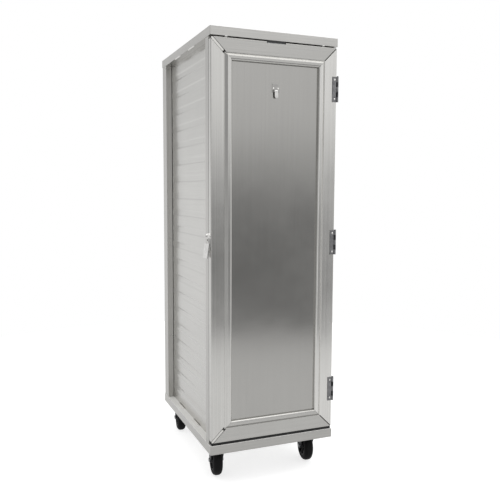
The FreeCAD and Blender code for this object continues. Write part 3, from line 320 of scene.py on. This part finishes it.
def new_piece(name, shape, body, slot, material, *replaced, crease=SHARP):
    """Makes a bmesh a piece of the rack that rides on a body and stands for the named nodes."""
    bmesh.ops.recalc_face_normals(shape, faces=shape.faces)
    mesh = bpy.data.meshes.new(name)
    shape.to_mesh(mesh)
    shape.free()
    mesh.shade_smooth()
    mesh.set_sharp_from_angle(angle=crease)
    mesh.materials.append(material)
    piece = bpy.data.objects.new(name, mesh)
    bpy.context.scene.collection.objects.link(piece)
    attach(piece, body)
    if replaced:
        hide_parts(*replaced)
    return piece


def ease_edges(width_mm, *names):
    """Copies of the nodes so named with their sharp edges eased, as deburred sheet and bar have
    them."""
    for name, node in NODES.items():
        if name.startswith(names):
            shape = bmesh.new()
            shape.from_mesh(node.data)
            bmesh.ops.remove_doubles(shape, verts=shape.verts, dist=COPIED_JOIN)
            bmesh.ops.dissolve_limit(shape, angle_limit=FLAT, verts=shape.verts, edges=shape.edges)
            sharp = [edge for edge in shape.edges if edge.calc_face_angle(0) > SHARP]
            bmesh.ops.bevel(shape, geom=sharp, offset=width_mm * MM, offset_type="OFFSET",
                            segments=2, profile=0.5, affect="EDGES", clamp_overlap=True,
                            material=-1)
            finish = node.material_slots[0].material
            piece = new_piece(f"{name}_eased", shape, BODY_OF[name], SLOT_OF[name], finish, name,
                              crease=EASED_SHARP)
            # The large faces keep their own direction, so they look flat up to the eased edge.
            flatten = piece.modifiers.new("flat_faces", "WEIGHTED_NORMAL")
            flatten.keep_sharp = True
            flatten.weight = 100


def turned(shape, profile, place, steps, closed=False):
    """Turns a profile of (distance along X, radius) fully round the X axis of a place."""
    points = [shape.verts.new(place @ Vector((along, 0, radius))) for along, radius in profile]
    ends = points[1:] + points[:1] if closed else points[1:]
    edges = [shape.edges.new(pair) for pair in zip(points, ends)]
    axis = place.to_3x3() @ Vector((1, 0, 0))
    bmesh.ops.spin(shape, geom=points + edges, cent=place.translation, axis=axis,
                   angle=math.tau, steps=steps, use_merge=True)
    bmesh.ops.remove_doubles(shape, verts=shape.verts, dist=TURNED_JOIN)


def weld_profile(length, radius):
    """A run of weld: overlapping scales, tapered at both ends."""
    scale_pitch, scale_depth, point_pitch, bluntness = 4 * MM, 0.16, 1 * MM, 8
    count = round(length / point_pitch)
    profile = [(-length / 2, 0)]
    for index in range(1, count):
        along = index * length / count - length / 2
        taper = (1 - abs(2 * along / length) ** bluntness) ** 0.5
        ripple = 1 - scale_depth + scale_depth * abs(math.sin(math.pi * along / scale_pitch))
        profile.append((along, radius * taper * ripple))
    return profile + [(length / 2, 0)]


def make_welds(bright, smoked_and_shaded):
    """Stitch welds with their scales: pale under the roof's edge, partly a painted highlight,
    greyer at the walls' foot, partly a painted shade in the corner, and a short tack at each end of
    the roof's front edge."""
    roof_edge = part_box("top_sheet")[1]
    post_low, post_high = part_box("post_front_right")
    roof_bead, foot_bead, wall_gap = 2.8 * MM, 4 * MM, 1.2 * MM
    stitch_length, tack_length, round_steps = 90 * MM, 12 * MM, 10
    roof_stitches, foot_stitches = (-110 * MM, 90 * MM), (-82 * MM, 146 * MM)
    tack_from_middle = 206 * MM
    along_y = Matrix.Rotation(math.radians(90), 4, "Z")
    roof, foot = bmesh.new(), bmesh.new()
    for side in (-1, 1):
        roof_x = side * (roof_edge[0] - roof_bead)
        for y in roof_stitches:
            place = Matrix.Translation((roof_x, y, post_high[2])) @ along_y
            turned(roof, weld_profile(stitch_length, roof_bead), place, round_steps)
        foot_x = side * (post_low[0] + foot_bead - wall_gap)
        for y in foot_stitches:
            place = Matrix.Translation((foot_x, y, post_low[2])) @ along_y
            turned(foot, weld_profile(stitch_length, foot_bead), place, round_steps)
        place = Matrix.Translation(
            (side * tack_from_middle, roof_bead - roof_edge[1], post_high[2]))
        turned(roof, weld_profile(tack_length, roof_bead), place, round_steps)
    new_piece("roof_weld_beads", roof, "cabinet", "weld_aluminium", bright, "stitch_welds")
    new_piece("foot_weld_beads", foot, "cabinet", "weld_aluminium", smoked_and_shaded, "stitch_welds")


def wheel_places():
    """Name and place of each caster wheel, with its axle along the place's X axis."""
    axles = {joint["child"]: joint for joint in frame["joints"]}
    for name in CASTERS:
        joint = axles[f"wheel_{name}"]
        turn = Vector(joint["axis"]).normalized().to_track_quat("X", "Z")
        yield name, Matrix.Translation(joint["pos_m"]) @ turn.to_matrix().to_4x4()


def make_tyres(material):
    """Solid tyres with a moulded groove round each side and a round crown."""
    half_width, inner, outer, shoulder = 20 * MM, 43 * MM, 63 * MM, 16 * MM
    groove_floor = half_width - 1.2 * MM
    shoulder_steps, round_steps = 9, 80
    side = [(half_width, inner), (half_width, 43.6 * MM), (groove_floor, 44.2 * MM),
            (groove_floor, 45.4 * MM), (half_width, 46 * MM)]
    for step in range(shoulder_steps + 1):
        angle = math.radians(90 * step / shoulder_steps)
        side.append((half_width - shoulder + shoulder * math.cos(angle),
                     outer - shoulder + shoulder * math.sin(angle)))
    profile = side + [(-along, radius) for along, radius in reversed(side)]
    for name, place in wheel_places():
        shape = bmesh.new()
        turned(shape, profile, place, round_steps, closed=True)
        new_piece(f"tyre_{name}", shape, f"wheel_{name}", "tyre_rubber", material,
                  f"caster_tyre_{name}")


def make_hub_ribs(material):
    """Moulded ribs between the boss and the rim of each wheel's hub, on both faces."""
    count, thickness, reach, height, easing = 8, 3 * MM, 25 * MM, 6 * MM, 1 * MM
    boss_radius, web_face = 12.5 * MM, 10 * MM
    for name, place in wheel_places():
        shape = bmesh.new()
        for face in (-1, 1):
            middle = Matrix.Translation(
                (face * (web_face + height / 2), 0, boss_radius + reach / 2))
            for index in range(count):
                spoke = Matrix.Rotation(math.tau * index / count, 4, "X")
                made = bmesh.ops.create_cube(shape, size=1.0)["verts"]
                bmesh.ops.scale(shape, vec=(height, thickness, reach), verts=made)
                edges = {edge for vert in made for edge in vert.link_edges}
                top = [edge for edge in edges if all(vert.co.x * face > 0 for vert in edge.verts)]
                rounded = bmesh.ops.bevel(
                    shape, geom=top, offset=easing, offset_type="OFFSET", segments=3, profile=0.5,
                    affect="EDGES", clamp_overlap=True, material=-1)
                rib = {vert for new_face in rounded["faces"] for vert in new_face.verts}
                rib |= {vert for vert in made if vert.is_valid}
                bmesh.ops.transform(shape, matrix=place @ spoke @ middle, verts=list(rib))
        new_piece(f"hub_ribs_{name}", shape, f"wheel_{name}", "hub_plastic", material)


def make_floor():
    """A white paper floor that keeps the rack's shadow."""
    shape = bmesh.new()
    bmesh.ops.create_circle(shape, cap_ends=True, segments=FLOOR_CORNERS, radius=FLOOR_RADIUS)
    mesh = bpy.data.meshes.new("floor")
    shape.to_mesh(mesh)
    shape.free()
    material, tree, output = new_material("white_paper")
    rays = add(tree, "ShaderNodeLightPath", {})
    paper = add(tree, "ShaderNodeBsdfDiffuse", {"Color": linear("#bcbcbc")})
    lift = 0.0
    for ray, strength in FLOOR_LIFT.items():
        lift = add(tree, "ShaderNodeMath", {0: rays.outputs[ray], 1: strength, 2: lift},
                   operation="MULTIPLY_ADD").outputs["Value"]
    glow = add(tree, "ShaderNodeEmission", {"Strength": lift})
    both = add(tree, "ShaderNodeAddShader", {
        0: paper.outputs["BSDF"], 1: glow.outputs["Emission"]})
    tree.links.new(both.outputs["Shader"], output.inputs["Surface"])
    # The lift is for the eye alone, so no ray is sent to it as to a lamp.
    material.cycles.emission_sampling = "NONE"
    mesh.materials.append(material)
    floor = bpy.data.objects.new("floor", mesh)
    bpy.context.scene.collection.objects.link(floor)


def make_room():
    """A white room with a darker wall before the door and a dim left side, which the metal shows.
    The camera itself sees plain white."""
    world = bpy.data.worlds.new("studio")
    world.use_nodes = True
    tree = world.node_tree
    tree.nodes.clear()
    way = add(tree, "ShaderNodeTexCoord", {})
    part = add(tree, "ShaderNodeSeparateXYZ", {"Vector": way.outputs["Generated"]})
    front = add(tree, "ShaderNodeMath", {0: part.outputs["Y"], 1: -1.0}, operation="MULTIPLY")
    turn = add(tree, "ShaderNodeMath", {0: part.outputs["X"], 1: front.outputs["Value"]},
               operation="ARCTAN2")
    around, height = turn.outputs["Value"], part.outputs["Z"]
    tones = []
    for place, (start, end), shades in (
        (around, FULL_TURN, ROUND_ROOM),
        (height, ROOM_HEIGHTS, UPWARDS),
        (height, DOOR_WALL_HEIGHTS, DOOR_WALL),
        (around, FULL_TURN, WALL_PLACE),
    ):
        share = add(tree, "ShaderNodeMapRange", {
            "Value": place, "From Min": start, "From Max": end})
        ramp = add(tree, "ShaderNodeValToRGB", {"Fac": share.outputs["Result"]})
        stops = ramp.color_ramp.elements
        for stop, shade in shades.items():
            stops.new(stop).color = (shade, shade, shade, 1)
        # A new ramp comes with a stop at each end, which the table's own stops replace.
        stops.remove(stops[-1])
        stops.remove(stops[0])
        tones.append(ramp.outputs["Color"])
    by_turn, by_height, door_wall, wall_place = tones
    walls = add(tree, "ShaderNodeMix", {"Factor": 1.0, "A": by_turn, "B": by_height},
                data_type="RGBA", blend_type="MULTIPLY")
    room = add(tree, "ShaderNodeMix", {
        "Factor": wall_place, "A": walls.outputs["Result"], "B": door_wall}, data_type="RGBA")
    start, end = CEILING_HEIGHTS
    ceiling = add(tree, "ShaderNodeMapRange", {"Value": height, "From Min": start, "From Max": end})
    whole = add(tree, "ShaderNodeMix", {
        "Factor": ceiling.outputs["Result"], "A": room.outputs["Result"], "B": WHITE},
        data_type="RGBA")
    rays = add(tree, "ShaderNodeLightPath", {})
    shown = add(tree, "ShaderNodeMix", {
        "Factor": rays.outputs["Is Camera Ray"], "A": whole.outputs["Result"], "B": WHITE},
        data_type="RGBA")
    sky = add(tree, "ShaderNodeBackground", {"Color": shown.outputs["Result"], "Strength": 1.0})
    add(tree, "ShaderNodeOutputWorld", {"Surface": sky.outputs["Background"]})
    bpy.context.scene.world = world


def make_lamp(name, place, target, size, power):
    """A soft square lamp aimed at a point."""
    lamp = bpy.data.lights.new(name, "AREA")
    lamp.size = size
    lamp.energy = power
    holder = bpy.data.objects.new(name, lamp)
    holder.location = place
    holder.rotation_euler = (Vector(target) - Vector(place)).to_track_quat("-Z", "Y").to_euler()
    holder.visible_camera = False
    bpy.context.scene.collection.objects.link(holder)


def make_camera():
    """The photograph's viewpoint: left of the middle, above half height, turned to the right."""
    yaw, pitch, roll = (math.radians(angle) for angle in CAMERA_TURNS)
    ahead = Vector((math.sin(yaw) * math.cos(pitch), math.cos(yaw) * math.cos(pitch),
                    -math.sin(pitch)))
    right = Vector((math.cos(yaw), -math.sin(yaw), 0))
    up = right.cross(ahead)
    across = right * math.cos(roll) + up * math.sin(roll)
    upright = up * math.cos(roll) - right * math.sin(roll)
    turn = Matrix((across, upright, -ahead)).transposed().to_4x4()
    lens = bpy.data.cameras.new("camera")
    lens.sensor_width = PICTURE_WIDTH
    lens.lens = LENS_LENGTH
    camera = bpy.data.objects.new("camera", lens)
    camera.matrix_world = Matrix.Translation(CAMERA_PLACE) @ turn
    bpy.context.scene.collection.objects.link(camera)
    bpy.context.scene.camera = camera


finish_nodes()
# Sheets, posts and door mouldings are eased a little, the heavier rails more, in millimetres.
ease_edges(0.8, "floor_sheet", "top_sheet", "post_", "door_latch", "door_hinge", "door_bottom",
           "door_top")
ease_edges(1.4, "base_rail", "roof_rail")
# Welds: frosted pale under the roof's edge, partly their own colour and partly a painted
# highlight; greyed at the foot of the walls, partly by weld smoke and partly as painted shade in
# the corner.
make_welds(
    drawn_aluminium("weld_aluminium", "Z", "#f2f1ee", roughness=0.45, streak_mm=3.0),
    drawn_aluminium("smoked_and_shaded_weld_aluminium", "Z", "#dedcd8", roughness=0.45, streak_mm=3.0,
                    bloom=0.2))
# Tyres: black rubber, matte, greyed by a little floor dust.
make_tyres(moulded("tyre_rubber", "#060607", "#131314", roughness=0.55, grain_mm=1.5,
                   relief_mm=0.12, gloss=0.15))
# Ribs: the hubs' own black polypropylene.
make_hub_ribs(moulded("rib_polypropylene", "#151517", "#2c2c2e", roughness=0.42, grain_mm=1.2,
                      relief_mm=0.05))
make_floor()
make_room()
for lamp_name, lamp_values in LAMPS.items():
    make_lamp(lamp_name, *lamp_values)
make_camera()
bpy.context.scene.view_settings.view_transform = "Standard"
